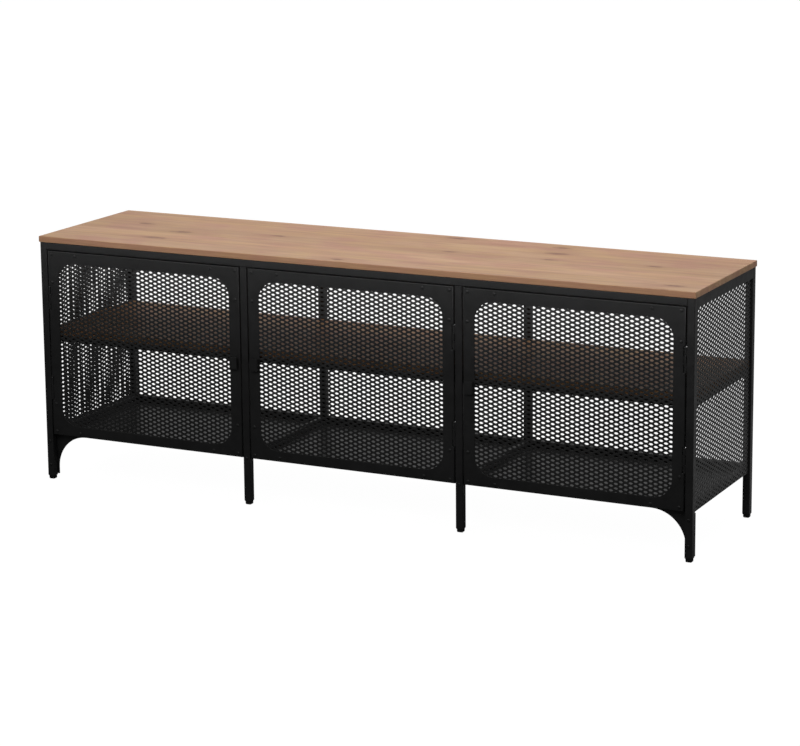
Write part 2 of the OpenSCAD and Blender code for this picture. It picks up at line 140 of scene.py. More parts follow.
# Pine: each pattern's cycles a metre along X, Y and Z, and how far it reaches
KNOT_CELLS = (4.4, 11.0, 0.0)
KNOT_RARITY = 0.62
KNOT_SIZES = (0.05, 0.12)
KNOT_RAGGEDNESS = 0.25
KNOT_BEND = 8 * MM
RING_WIDTH = 6.5 * MM
WANDER_CELLS = (1.7, 5.0, 5.0)
WANDER_REACH = 60 * MM
FINE_WANDER_CELLS = (5.0, 50.0, 50.0)
FINE_WANDER_REACH = 4 * MM
LOG_DEPTHS = (12 * MM, 50 * MM)
LOG_CLIMB = 0.02
STREAK_CELLS = (2.2, 48.0, 48.0)
BLUSH_CELLS = (9.0, 17.0, 17.0)
OCHRE_CELLS = (9.0, 15.0, 15.0)
OCHRE_OFFSET = (3.1, 7.7, 1.3)
FIBRE_CELLS = (16.0, 800.0, 800.0)
STAVE_SPACING = 3.7
STAVE_SHIFT = 9.0
TOP_COLOURS = {"light": (0.60, 0.37, 0.218), "blush": (0.545, 0.28, 0.195), "ochre": (0.60, 0.38, 0.18),
               "dark": (0.39, 0.19, 0.105), "knot": (0.21, 0.09, 0.055)}
# The shelf is the same pine as the top; its darker colours are painted shade, standing in for the shade
# it sits in under the top board.
SHADED_SHELF_COLOURS = {"light": (0.46, 0.27, 0.13), "blush": (0.43, 0.21, 0.11), "ochre": (0.44, 0.28, 0.11),
                 "dark": (0.29, 0.14, 0.065), "knot": (0.15, 0.065, 0.04)}

# Light: name, place, target, width, height and power of each softbox
SOFTBOXES = (
    ("front_strip", (0.1, -0.58, 0.60), (0.1, -0.18, 0.83), 2.6, 0.10, 3.0),
    ("front_fill", (0.1, -2.4, 2.0), (0.1, -0.2, 0.4), 3.0, 1.0, 16.0),
    ("rear_strip", (0, 0.62, 1.15), (0, 0.1, 0.4), 2.4, 0.3, 3.5),
    ("overhead", (0.1, 0.12, 1.9), (0.1, 0.12, 0.3), 2.6, 0.5, 11.0),
)
WORLD_FRONT, WORLD_REAR, WORLD_TOP = 0.10, 0.36, 0.12
FLOOR_HALF = 40.0
FLOOR_FRONT, FLOOR_REAR = 0.08, 0.52
FLOOR_GLOW = 0.985


# ---- Node-tree helpers ----


def add_node(tree, kind, inputs=None, **settings):
    """Adds a shader node; a value in inputs is a number, a colour or the socket to link."""
    made = tree.nodes.new(kind)
    for key, value in settings.items():
        setattr(made, key, value)
    for key, value in (inputs or {}).items():
        if isinstance(value, bpy.types.NodeSocket):
            tree.links.new(value, made.inputs[key])
        else:
            made.inputs[key].default_value = value
    return made


def calc(tree, operation, *values):
    """The output of a Math node."""
    return add_node(tree, "ShaderNodeMath", dict(enumerate(values)), operation=operation).outputs[0]


def spread(tree, value, low, high, to_low, to_high):
    """Maps value from low..high to to_low..to_high, clamped."""
    inputs = {"Value": value, "From Min": low, "From Max": high, "To Min": to_low, "To Max": to_high}
    return add_node(tree, "ShaderNodeMapRange", inputs).outputs["Result"]


def blend_colours(tree, share, first, second):
    """The colour output of a Mix node."""
    made = tree.nodes.new("ShaderNodeMix")
    made.data_type = "RGBA"
    sockets = {"Factor": made.inputs[0], "A": made.inputs[6], "B": made.inputs[7]}
    for key, value in (("Factor", share), ("A", first), ("B", second)):
        if isinstance(value, bpy.types.NodeSocket):
            tree.links.new(value, sockets[key])
        else:
            sockets[key].default_value = value
    return made.outputs[2]


def noise(tree, vector, scale, detail=2.0, roughness=0.5):
    """The value of a noise texture, about 0.3 to 0.7 around 0.5."""
    inputs = {"Vector": vector, "Scale": scale, "Detail": detail, "Roughness": roughness}
    return add_node(tree, "ShaderNodeTexNoise", inputs).outputs["Fac"]


def stretched(tree, vector, x, y, z):
    """The vector with each axis multiplied."""
    inputs = {"Vector": vector, "Scale": (x, y, z)}
    return add_node(tree, "ShaderNodeMapping", inputs).outputs["Vector"]


def rgb(red, green, blue):
    """A colour with full alpha, as the sockets take it."""
    return (red, green, blue, 1.0)


def shaded(tree, colour, tone):
    """A colour multiplied by a value that varies over the surface."""
    made = add_node(tree, "ShaderNodeVectorMath", {0: colour, 1: tone}, operation="MULTIPLY")
    return made.outputs["Vector"]


def new_material(name, roughness, specular):
    """A material with one Principled shader; its even values are set on the shader's own sockets."""
    material = bpy.data.materials.new(name)
    material.use_nodes = True
    tree = material.node_tree
    shader = tree.nodes["Principled BSDF"]
    shader.inputs["Roughness"].default_value = roughness
    shader.inputs["Specular IOR Level"].default_value = specular
    place = add_node(tree, "ShaderNodeTexCoord").outputs["Object"]
    return material, tree, shader, place


def add_bump(tree, shader, height, distance, strength):
    """Raises the surface by a pattern, at most by the distance."""
    inputs = {"Height": height, "Distance": distance, "Strength": strength}
    bump = add_node(tree, "ShaderNodeBump", inputs)
    tree.links.new(bump.outputs["Normal"], shader.inputs["Normal"])


# ---- Materials ----


def powder_coat(name, colour, roughness, specular):
    """Black powder coat: a fine orange peel, faint cloudiness in the colour and an uneven gloss."""
    material, tree, shader, place = new_material(name, roughness, specular)
    cloud = noise(tree, place, 14.0, 3.0)
    tone = spread(tree, cloud, 0.3, 0.7, 0.82, 1.18)
    tree.links.new(shaded(tree, colour, tone), shader.inputs["Base Color"])
    patch = noise(tree, place, 55.0, 2.0)
    gloss = spread(tree, patch, 0.3, 0.7, roughness - 0.05, roughness + 0.06)
    tree.links.new(gloss, shader.inputs["Roughness"])
    peel = noise(tree, place, PEEL_CYCLES, 2.0, 0.6)
    add_bump(tree, shader, peel, PEEL_DEPTH, 0.6)
    return material


def moulded_plastic(name, colour):
    """Matt black plastic with a fine spark-eroded texture."""
    material, tree, shader, place = new_material(name, 0.55, 0.3)
    speck = noise(tree, place, 2200.0, 2.0)
    shade = spread(tree, speck, 0.3, 0.7, 0.0, 1.0)
    base = blend_colours(tree, shade, rgb(*[c * 0.8 for c in colour]), rgb(*[c * 1.25 for c in colour]))
    tree.links.new(base, shader.inputs["Base Color"])
    add_bump(tree, shader, speck, 0.00005, 0.5)
    return material


def zinc_plate(name):
    """Bright zinc: brushed along its length, with uneven passivation."""
    material, tree, shader, place = new_material(name, 0.3, 0.5)
    shader.inputs["Metallic"].default_value = 1.0
    brushed = noise(tree, stretched(tree, place, 900.0, 900.0, 60.0), 1.0, 3.0)
    shade = spread(tree, brushed, 0.3, 0.7, 0.0, 1.0)
    base = blend_colours(tree, shade, rgb(0.42, 0.43, 0.44), rgb(0.62, 0.63, 0.64))
    tree.links.new(base, shader.inputs["Base Color"])
    tree.links.new(spread(tree, brushed, 0.3, 0.7, 0.22, 0.38), shader.inputs["Roughness"])
    add_bump(tree, shader, brushed, 0.00003, 0.4)
    return material


def pine(name, board, colours, stave_count, seed):
    """Lacquered pine of glued staves: rings of a log along X, fibres, blush and ochre patches, knots."""
    material, tree, shader, place = new_material(name, 0.45, 0.3)
    low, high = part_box(board)
    axes = add_node(tree, "ShaderNodeSeparateXYZ", {"Vector": place})
    x, y, z = axes.outputs["X"], axes.outputs["Y"], axes.outputs["Z"]

    # Staves, each with its own three random numbers
    stave_width = (high.y - low.y) / stave_count
    across = calc(tree, "DIVIDE", calc(tree, "SUBTRACT", y, low.y), stave_width)
    stave = calc(tree, "FLOOR", across)
    stave_key = calc(tree, "ADD", calc(tree, "MULTIPLY", stave, STAVE_SPACING), seed)
    luck = add_node(tree, "ShaderNodeTexWhiteNoise", {"W": stave_key}, noise_dimensions="1D")
    chance = add_node(tree, "ShaderNodeSeparateColor", {"Color": luck.outputs["Color"]})
    luck_a, luck_b, luck_c = chance.outputs["Red"], chance.outputs["Green"], chance.outputs["Blue"]
    own_x = calc(tree, "ADD", x, calc(tree, "MULTIPLY", luck_a, STAVE_SHIFT))
    own_place = add_node(tree, "ShaderNodeCombineXYZ", {"X": own_x, "Y": y, "Z": z}).outputs["Vector"]

    # Knots: a few cells of a pattern that is longer along the grain
    cell_place = stretched(tree, own_place, *KNOT_CELLS)
    cells = add_node(tree, "ShaderNodeTexVoronoi", {"Vector": cell_place, "Scale": 1.0},
                     voronoi_dimensions="2D")
    kept = add_node(tree, "ShaderNodeSeparateColor", {"Color": cells.outputs["Color"]})
    has_knot = calc(tree, "GREATER_THAN", kept.outputs["Red"], KNOT_RARITY)
    knot_size = spread(tree, kept.outputs["Green"], 0.0, 1.0, *KNOT_SIZES)
    ragged = spread(tree, noise(tree, own_place, 90.0), 0.3, 0.7, -KNOT_RAGGEDNESS, KNOT_RAGGEDNESS)
    knot_edge = calc(tree, "ADD", calc(tree, "DIVIDE", cells.outputs["Distance"], knot_size), ragged)
    knot = calc(tree, "MULTIPLY", spread(tree, knot_edge, 0.3, 1.3, 1.0, 0.0), has_knot)
    swirl = calc(tree, "MULTIPLY", spread(tree, knot_edge, 0.6, 4.5, 1.0, 0.0), has_knot)

    # Rings: the distance from the log's centre line, which wanders, climbs and bends round the knots
    wander = noise(tree, stretched(tree, own_place, *WANDER_CELLS), 1.0)
    wander = calc(tree, "MULTIPLY", calc(tree, "SUBTRACT", wander, 0.5), WANDER_REACH)
    in_stave = calc(tree, "SUBTRACT", calc(tree, "FRACT", across), luck_b)
    off_y = calc(tree, "ADD", calc(tree, "MULTIPLY", in_stave, stave_width), wander)
    depth = spread(tree, luck_c, 0.0, 1.0, *LOG_DEPTHS)
    off_z = calc(tree, "ADD", calc(tree, "SUBTRACT", z, low.z), depth)
    off_z = calc(tree, "ADD", off_z, calc(tree, "MULTIPLY", x, LOG_CLIMB))
    off = add_node(tree, "ShaderNodeCombineXYZ", {"X": 0.0, "Y": off_y, "Z": off_z}).outputs["Vector"]
    radius = add_node(tree, "ShaderNodeVectorMath", {0: off}, operation="LENGTH").outputs["Value"]
    fine_wander = noise(tree, stretched(tree, own_place, *FINE_WANDER_CELLS), 1.0)
    bend = calc(tree, "ADD", calc(tree, "MULTIPLY", swirl, KNOT_BEND),
                calc(tree, "MULTIPLY", fine_wander, FINE_WANDER_REACH))
    ring = calc(tree, "FRACT", calc(tree, "DIVIDE", calc(tree, "ADD", radius, bend), RING_WIDTH))
    late = calc(tree, "MULTIPLY", calc(tree, "POWER", ring, 2.0),
                spread(tree, ring, 0.86, 1.0, 1.0, 0.0))

    # Patches and streaks along the grain
    streak = noise(tree, stretched(tree, own_place, *STREAK_CELLS), 1.0, 4.0, 0.6)
    blush = noise(tree, stretched(tree, own_place, *BLUSH_CELLS), 1.0, 3.0)
    ochre_place = add_node(tree, "ShaderNodeVectorMath", {0: own_place, 1: OCHRE_OFFSET})
    ochre = noise(tree, stretched(tree, ochre_place.outputs["Vector"], *OCHRE_CELLS), 1.0, 3.0)
    fibre = noise(tree, stretched(tree, own_place, *FIBRE_CELLS), 1.0, 3.0, 0.6)

    wood = blend_colours(tree, spread(tree, blush, 0.42, 0.60, 0.0, 0.8), rgb(*colours["light"]),
                         rgb(*colours["blush"]))
    wood = blend_colours(tree, spread(tree, ochre, 0.44, 0.62, 0.0, 0.6), wood, rgb(*colours["ochre"]))
    dark_share = calc(tree, "ADD", calc(tree, "MULTIPLY", late, 0.42),
                      spread(tree, streak, 0.42, 0.72, 0.0, 0.6))
    wood = blend_colours(tree, dark_share, wood, rgb(*colours["dark"]))
    wood = blend_colours(tree, calc(tree, "MULTIPLY", swirl, 0.35), wood, rgb(*colours["dark"]))
    wood = blend_colours(tree, calc(tree, "MULTIPLY", knot, 0.75), wood, rgb(*colours["knot"]))
    joint = calc(tree, "ABSOLUTE", calc(tree, "SUBTRACT", calc(tree, "FRACT", across), 0.5))
    wood = blend_colours(tree, spread(tree, joint, 0.488, 0.5, 0.0, 0.5), wood, rgb(*colours["dark"]))
    tone = calc(tree, "MULTIPLY", spread(tree, fibre, 0.3, 0.7, 0.92, 1.08),
                spread(tree, luck_c, 0.0, 1.0, 0.93, 1.05))
    tree.links.new(shaded(tree, wood, tone), shader.inputs["Base Color"])

    tree.links.new(spread(tree, dark_share, 0.0, 0.8, 0.5, 0.4), shader.inputs["Roughness"])
    relief = calc(tree, "ADD", calc(tree, "MULTIPLY", late, 0.5), fibre)
    add_bump(tree, shader, relief, 0.00012, 0.5)
    return material


# ---- Shape helpers ----


def smooth_by_angle(mesh, degrees):
    """Smooth shading, kept sharp at edges that turn more than the angle."""
    limit = math.radians(degrees)
    made = bmesh.new()
    made.from_mesh(mesh)
    for face in made.faces:
        face.smooth = True
    for edge in made.edges:
        edge.smooth = len(edge.link_faces) == 2 and edge.calc_face_angle(0.0) < limit
    made.to_mesh(mesh)
    made.free()


def written(made, mesh, degrees=SHARP_ANGLE):
    """The mesh, with what was made in bmesh written to it and its shading set."""
    made.to_mesh(mesh)
    made.free()
    smooth_by_angle(mesh, degrees)
    return mesh


def weigh_normals(piece):
    """Keeps flat faces flat beside rounded edges."""
    weighted = piece.modifiers.new("weighted_normals", "WEIGHTED_NORMAL")
    weighted.keep_sharp = True


def add_piece(name, mesh, material, node):
    """Makes an object of the mesh, in place of a CAD node: it rides on that node's body."""
    piece = bpy.data.objects.new(name, mesh)
    bpy.context.scene.collection.objects.link(piece)
    mesh.materials.clear()
    mesh.materials.append(material)
    weigh_normals(piece)
    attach(piece, BODY_OF[node])
    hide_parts(node)


def finished_mesh(name, verts, faces, degrees=SHARP_ANGLE):
    """A closed mesh with its faces turned outwards and its shading set."""
    mesh = bpy.data.meshes.new(name)
    mesh.from_pydata(verts, [], faces)
    made = bmesh.new()
    made.from_mesh(mesh)
    bmesh.ops.recalc_face_normals(made, faces=made.faces)
    return written(made, mesh, degrees)


class Solid:
    """Gathers the vertices and faces of several solids for one mesh."""

    def __init__(self):
        self.verts = []
        self.faces = []

    def add(self, verts, faces):
        start = len(self.verts)
        self.verts += [tuple(point) for point in verts]
        self.faces += [tuple(i + start for i in face) for face in faces]

    def rings(self, loops, closed=False):
        """Joins loops of equal length with quads; a closed run meets itself, an open one is capped."""
        count = len(loops[0])
        verts = [point for loop in loops for point in loop]
        faces = []
        for ring in range(len(loops) if closed else len(loops) - 1):
            start, after = ring * count, (ring + 1) % len(loops) * count
            for i in range(count):
                j = (i + 1) % count
                faces.append((start + i, start + j, after + j, after + i))
        if not closed:
            faces.append(tuple(range(count)))
            faces.append(tuple(reversed(range(len(verts) - count, len(verts)))))
        self.add(verts, faces)

    def mesh(self, name):
        return finished_mesh(name, self.verts, self.faces)


def solid_boxes(node):
    """The lowest and highest corner of each separate solid of a CAD node."""
    made = bmesh.new()
    made.from_mesh(NODES[node].data)
    bmesh.ops.remove_doubles(made, verts=made.verts, dist=1e-6)
    left = set(made.verts)
    boxes = []
    while left:
        island = [left.pop()]
        for vert in island:
            for edge in vert.link_edges:
                other = edge.other_vert(vert)
                if other in left:
                    left.remove(other)
                    island.append(other)
        low = Vector(min(v.co[i] for v in island) for i in range(3))
        high = Vector(max(v.co[i] for v in island) for i in range(3))
        boxes.append((low, high))
    made.free()
    return sorted(boxes, key=lambda box: tuple(box[0]))


def rounded_loop(half_a, half_b, radius, steps=4):
    """Points round a rectangle with round corners, centred on the origin."""
    points = []
    for quarter in range(4):
        centre_a = (half_a - radius) * (1 if quarter in (0, 3) else -1)
        centre_b = (half_b - radius) * (1 if quarter in (0, 1) else -1)
        for step in range(steps + 1):
            angle = math.pi / 2 * (quarter + step / steps)
            points.append((centre_a + radius * math.cos(angle), centre_b + radius * math.sin(angle)))
    return points


# ---- Steel tubes ----


def rolled_tube(solid, low, high):
    """A square tube with rolled corners, open at both ends, along the longest side of its box."""
    size = high - low
    along = max(range(3), key=lambda i: size[i])
    side_a, side_b = [i for i in range(3) if i != along]
    middle = (low + high) / 2
    loops = []
    for inset, end in ((0, low), (0, high), (TUBE_WALL, high), (TUBE_WALL, low)):
        radius = max(TUBE_CORNER - inset, 0.5 * MM)
        loop = []
        for a, b in rounded_loop(size[side_a] / 2 - inset, size[side_b] / 2 - inset, radius):
            point = middle.copy()
            point[side_a] += a
            point[side_b] += b
            point[along] = end[along]
            loop.append(point)
        loops.append(loop)
    solid.rings(loops, closed=True)


def tube_piece(node):
    """Every tube of a CAD node, as rolled tubes."""
    solid = Solid()
    for low, high in solid_boxes(node):
        rolled_tube(solid, low, high)
    add_piece(f"{node}_tube", solid.mesh(node), steel, node)


# ---- Boards ----


def board_piece(node, material, ease):
    """A board with all its edges eased."""
    low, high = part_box(node)
    made = bmesh.new()
    bmesh.ops.create_cube(made, size=1.0)
    bmesh.ops.scale(made, vec=high - low, verts=made.verts)
    bmesh.ops.translate(made, vec=(low + high) / 2, verts=made.verts)
    bmesh.ops.bevel(made, geom=made.edges[:], offset=ease, segments=3, profile=0.5, affect="EDGES")
    mesh = written(made, bpy.data.meshes.new(node))
    add_piece(f"{node}_wood", mesh, material, node)


# ---- Expanded metal ----


def hole_inside(x, z, half_width, half_height, corner):
    """Whether a hole's centre lies inside a rectangle with round corners."""
    past_x = abs(x) - (half_width - corner)
    past_z = abs(z) - (half_height - corner)
    if past_x > 0 and past_z > 0:
        return math.hypot(past_x, past_z) <= corner
    return abs(x) <= half_width and abs(z) <= half_height


def hole_loop(x0, z0, y, grow):
    """The six corners of a hole; its upper edge leans to the front and its lower edge to the back."""
    flat, tip, tall = MESH_HOLE_FLAT, MESH_HOLE_HALF_WIDTH, MESH_HOLE_HALF_HEIGHT
    loop = []
    for x, z in ((flat, tall), (tip, 0.0), (flat, -tall), (-flat, -tall), (-tip, 0.0), (-flat, tall)):
        out_z = math.copysign(grow, z) if z else 0.0
        loop.append((x0 + x + math.copysign(grow, x), y - MESH_TWIST * z / tall, z0 + z + out_z))
    return loop


def tile_loop(x0, z0, y):
    """The six corners of the tile round a hole."""
    flat, tip, tall = MESH_TILE_FLAT, MESH_COLUMN - MESH_TILE_FLAT, MESH_ROW / 2
    corners = ((flat, tall), (tip, 0.0), (flat, -tall), (-flat, -tall), (-tip, 0.0), (-flat, tall))
    return [(x0 + x, y, z0 + z) for x, z in corners]


def expanded_sheet(half_width, half_height, corner, border=None):
    """Vertices and faces of an expanded sheet round the origin: X across, Z up, its front at Y = 0.

    A hole that doesn't clear the border, the half width and half height the sheet is cut to, isn't made.
    """
    verts, faces, shared, walls = [], [], {}, {}

    def corner_of(point):
        key = tuple(round(value / MM * 20) for value in point)
        if key not in shared:
            shared[key] = len(verts)
            verts.append(point)
        return shared[key]

    columns = int(half_width / MESH_COLUMN) + 1
    rows = int(half_height / MESH_ROW) + 1
    for column in range(-columns, columns + 1):
        for row in range(-rows, rows + 1):
            x0 = column * MESH_COLUMN
            z0 = (row + column % 2 / 2) * MESH_ROW
            if not hole_inside(x0, z0, half_width, half_height, corner):
                continue
            front = [corner_of(point) for point in tile_loop(x0, z0, 0.0)]
            back = [corner_of(point) for point in tile_loop(x0, z0, MESH_SHEET)]
            for i in range(6):
                j = (i + 1) % 6
                walls.setdefault(frozenset((front[i], front[j])), []).append(
                    (front[i], front[j], back[j], back[i]))
            if border and (abs(x0) > border[0] - MESH_HOLE_HALF_WIDTH - MESH_BORDER
                           or abs(z0) > border[1] - MESH_HOLE_HALF_HEIGHT - MESH_BORDER):
                faces += [tuple(reversed(front)), tuple(back)]
                continue
            loops = [front]
            for y, grow in ((0.0, MESH_EASE), (MESH_EASE, 0.0),
                            (MESH_SHEET - MESH_EASE, 0.0), (MESH_SHEET, MESH_EASE)):
                loops.append(list(range(len(verts), len(verts) + 6)))
                verts.extend(hole_loop(x0, z0, y, grow))
            loops.append(back)
            for i in range(6):
                j = (i + 1) % 6
                for outer, inner in zip(loops, loops[1:]):
                    faces.append((outer[i], outer[j], inner[j], inner[i]))
    faces += [found[0] for found in walls.values() if len(found) == 1]
    return verts, faces


def cut_square(mesh, half_width, half_height):
    """Cuts a sheet's ragged edge off along four straight lines."""
    made = bmesh.new()
    made.from_mesh(mesh)
    for corner, normal in (((half_width, 0, 0), (1, 0, 0)), ((-half_width, 0, 0), (-1, 0, 0)),
                           ((0, 0, half_height), (0, 0, 1)), ((0, 0, -half_height), (0, 0, -1))):
        parts = made.verts[:] + made.edges[:] + made.faces[:]
        cut = bmesh.ops.bisect_plane(made, geom=parts, plane_co=corner, plane_no=normal,
                                     clear_outer=True)
        rim = [item for item in cut["geom_cut"] if isinstance(item, bmesh.types.BMEdge)]
        bmesh.ops.holes_fill(made, edges=rim)
    written(made, mesh, MESH_SHARP_ANGLE)


def mesh_piece(node, verts, faces, turn, cut=None):
    """Places an expanded sheet at a CAD mesh node, turned about Z, its front at the outer face."""
    low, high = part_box(node)
    mesh = finished_mesh(node, verts, faces, MESH_SHARP_ANGLE)
    if cut:
        cut_square(mesh, *cut)
    place = (low + high) / 2
    half_depth = min((high - low)[:]) / 2
    outwards = Matrix.Rotation(turn, 3, "Z") @ Vector((0.0, -1.0, 0.0))
    place += outwards * half_depth
    mesh.transform(Matrix.Translation(place) @ Matrix.Rotation(turn, 4, "Z"))
    add_piece(f"{node}_strands", mesh, mesh_steel, node)


# ---- Doors: drawn with the hinges on the right, then mirrored for the left door ----


class DoorPlan:
    """The places of one door, from the boxes of its CAD nodes."""

    def __init__(self, door):
        self.door = door
        self.low, self.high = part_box(f"{door}_frame")
        self.middle = (self.low + self.high) / 2
        self.half_width = (self.high.x - self.low.x) / 2
        knuckles = solid_boxes(f"{door}_knuckles")
        self.hinge_heights = sorted((low.z + high.z) / 2 for low, high in knuckles)
        first_low, first_high = knuckles[0]
        self.side = 1 if first_low.x > self.middle.x else -1
        barrel_edge = max(abs(first_high.x - self.middle.x), abs(first_low.x - self.middle.x))
        self.hinge_axis = barrel_edge - BARREL_RADIUS
        mesh_low, mesh_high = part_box(f"{door}_mesh")
        self.window_middle_z = (mesh_low.z + mesh_high.z) / 2
        self.window_half_height = (mesh_high.z - mesh_low.z) / 2 - MESH_HIDDEN_MARGIN
        self.window_half_width = (mesh_high.x - mesh_low.x) / 2 - MESH_HIDDEN_MARGIN

    def put(self, across, y, z):
        """A point of the right-hinged drawing, in the frame."""
        return (self.middle.x + self.side * across, y, z)

    def outline(self, inset):
        """The door's edge with its two hinge notches, moved inwards."""
        half, bottom, top = self.half_width - inset, self.low.z + inset, self.high.z - inset
        notch = self.hinge_axis - BARREL_RADIUS - NOTCH_CLEARANCE - inset
        points = [(-half, bottom), (half, bottom)]
        for height in self.hinge_heights:
            lower, upper = height - NOTCH_HALF_LENGTH - inset, height + NOTCH_HALF_LENGTH + inset
            points += [(half, lower), (notch, lower), (notch, upper), (half, upper)]
        return points + [(half, top), (-half, top)]

    def window(self, grow):
        """The window's edge, moved outwards."""
        loop = rounded_loop(self.window_half_width + grow, self.window_half_height + grow,
                            WINDOW_RADIUS + grow, steps=16)
        return [(x, self.window_middle_z + z) for x, z in loop]


def door_frame_piece(plan):
    """A pressed frame: a flat front with an eased window, folded back along every edge."""
    front, depth = plan.low.y, plan.high.y - plan.low.y
    inner_bend = DOOR_FOLD - DOOR_SHEET
    skirt = []
    for step in range(5):
        angle = math.pi / 2 * step / 4
        skirt.append((DOOR_FOLD * (1 - math.sin(angle)), DOOR_FOLD * (1 - math.cos(angle))))
    skirt += [(0.0, depth), (DOOR_SHEET, depth)]
    for step in range(3):
        angle = math.pi / 2 * step / 2
        skirt.append((DOOR_FOLD - inner_bend * math.cos(angle),
                      DOOR_FOLD - inner_bend * math.sin(angle)))
    rim = ((SHEET_EASE, 0.0), (0.0, SHEET_EASE),
           (0.0, DOOR_SHEET - SHEET_EASE), (SHEET_EASE, DOOR_SHEET))
    made = bmesh.new()

    def loop_edges(points, y):
        verts = [made.verts.new(plan.put(x, front + y, z)) for x, z in points]
        return verts, [made.edges.new((a, b)) for a, b in zip(verts, verts[1:] + verts[:1])]

    def joined(loops):
        for (one, _), (two, _) in zip(loops, loops[1:]):
            for i, vert in enumerate(one):
                j = (i + 1) % len(one)
                made.faces.new((vert, one[j], two[j], two[i]))

    outer = [loop_edges(plan.outline(inset), y) for inset, y in skirt]
    inner = [loop_edges(plan.window(grow), y) for grow, y in rim]
    joined(outer)
    joined(inner)
    for outer_edges, inner_edges in ((outer[0][1], inner[0][1]), (outer[-1][1], inner[-1][1])):
        bmesh.ops.triangle_fill(made, use_beauty=True, edges=outer_edges + inner_edges)
    bmesh.ops.recalc_face_normals(made, faces=made.faces)
    node = f"{plan.door}_frame"
    mesh = written(made, bpy.data.meshes.new(node))
    add_piece(f"{node}_pressed", mesh, steel, node)


def pull_piece(plan):
    """A tab bent from sheet: a wall that stands on the stile and a lip that points at the free edge."""
    node = f"{plan.door}_pull"
    low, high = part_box(node)
    near, far = sorted(plan.side * (x - plan.middle.x) for x in (low.x, high.x))
    bend_x, bend_y = far - PULL_BEND, low.y + PULL_BEND
    inner_bend = PULL_BEND - PULL_SHEET
    outside, inside = [], []
    for step in range(7):
        angle = math.pi / 2 * step / 6
        outside.append((bend_x + PULL_BEND * math.cos(angle), bend_y - PULL_BEND * math.sin(angle)))
        inside.append((bend_x + inner_bend * math.cos(angle), bend_y - inner_bend * math.sin(angle)))
    section = [(far, high.y)] + outside + [(near, low.y), (near, low.y + PULL_SHEET)]
    section += list(reversed(inside)) + [(far - PULL_SHEET, high.y)]
    made = bmesh.new()
    ends = []
    for z in (low.z, high.z):
        ends.append([made.verts.new(plan.put(x, y, z)) for x, y in section])
        made.faces.new(ends[-1])
    for i in range(len(section)):
        j = (i + 1) % len(section)
        made.faces.new((ends[0][i], ends[0][j], ends[1][j], ends[1][i]))
    bmesh.ops.recalc_face_normals(made, faces=made.faces)
    sharp = [edge for edge in made.edges if edge.calc_face_angle(0.0) > math.radians(60)]
    bmesh.ops.bevel(made, geom=sharp, offset=PULL_EASE, segments=2, profile=0.5, affect="EDGES")
    mesh = written(made, bpy.data.meshes.new(node))
    add_piece(f"{node}_bent", mesh, steel, node)


# ---- Fasteners ----


def ring_about(centre, y, reach, sides=24):
    """Points round a line along Y; reach gives the distance at an angle."""
    angles = [2 * math.pi * i / sides for i in range(sides)]
    return [(centre.x + reach(angle) * math.cos(angle), y, centre.z + reach(angle) * math.sin(angle))
            for angle in angles]


def turned(solid, centre, profile, socket=None):
    """A solid turned about a line along Y through the centre.

    The profile lists (radius, y) from the front. A hexagonal socket is (radius, depth).
    """
    loops = []
    if socket:
        radius, depth = socket
        flat = radius * math.cos(math.pi / 6)
        front = profile[0][1]
        for y in (front + depth, front):
            loops.append(ring_about(centre, y, lambda angle: flat / math.cos(
                (angle % (math.pi / 3)) - math.pi / 6)))
    for radius, y in profile:
        loops.append(ring_about(centre, y, lambda angle: radius))
    solid.rings(loops)


def domed_profile(front, back, head_radius, head_height, shank_radius, flat_radius):
    """A low domed head in front of a shank: (radius, y) from the front."""
    profile = []
    for step in range(6):
        share = step / 5
        radius = flat_radius + (head_radius - flat_radius) * math.sin(math.pi / 2 * share)
        profile.append((radius, front + (head_height - HEAD_BRIM) * (1 - math.cos(math.pi / 2 * share))))
    seat = front + head_height
    return profile + [(head_radius, seat), (shank_radius, seat), (shank_radius, back)]


def rivet_piece(door):
    """Rivets with a low dome in front and a flat tail behind."""
    node = f"{door}_rivets"
    solid = Solid()
    for low, high in solid_boxes(node):
        head = (high.x - low.x) / 2
        tail = head - RIVET_TAIL_STEP
        seat = high.y - RIVET_TAIL_HEIGHT
        profile = domed_profile(low.y, seat, head, RIVET_HEAD_HEIGHT, head / 2, RIVET_FLAT_RADIUS)
        profile += [(tail, seat), (tail, high.y - RIVET_TAIL_EASE), (tail - RIVET_TAIL_EASE, high.y)]
        turned(solid, (low + high) / 2, profile)
    add_piece(f"{node}_domed", solid.mesh(node), steel, node)


def frame_screw_piece():
    """Domed screws with hexagonal sockets in the front posts."""
    node = "frame_screws"
    solid = Solid()
    for low, high in solid_boxes(node):
        head = (high.x - low.x) / 2
        profile = domed_profile(low.y, high.y, head, SCREW_HEAD_HEIGHT, head * SCREW_SHANK_SHARE,
                                SCREW_FLAT_RADIUS)
        turned(solid, (low + high) / 2, profile, SCREW_SOCKET)
    add_piece(f"{node}_domed", solid.mesh(node), steel, node)


# ---- Feet ----


def foot_piece(node):
    """Moulded plugs with rounded soles; each stands under its tube on a flange."""
    solid = Solid()
    for low, high in solid_boxes(node):
        middle = (low + high) / 2
        flange = (high.x - low.x) / 2
        plug = flange - FOOT_FLANGE_WIDTH
        flange_bottom, flange_top = FOOT_FLANGE
        levels = [(plug - step, z) for step, z in SOLE_STEPS]
        levels += [(plug, flange_bottom), (flange, flange_bottom), (flange, flange_top),
                   (plug, flange_top), (plug, high.z)]
        loops = []
        for half, z in levels:
            loop = rounded_loop(half, half, FOOT_CORNER)
            loops.append([(middle.x + x, middle.y + y, z) for x, y in loop])
        solid.rings(loops)
    add_piece(f"{node}_moulded", solid.mesh(node), plastic, node)


# ---- Camera, light and floor ----


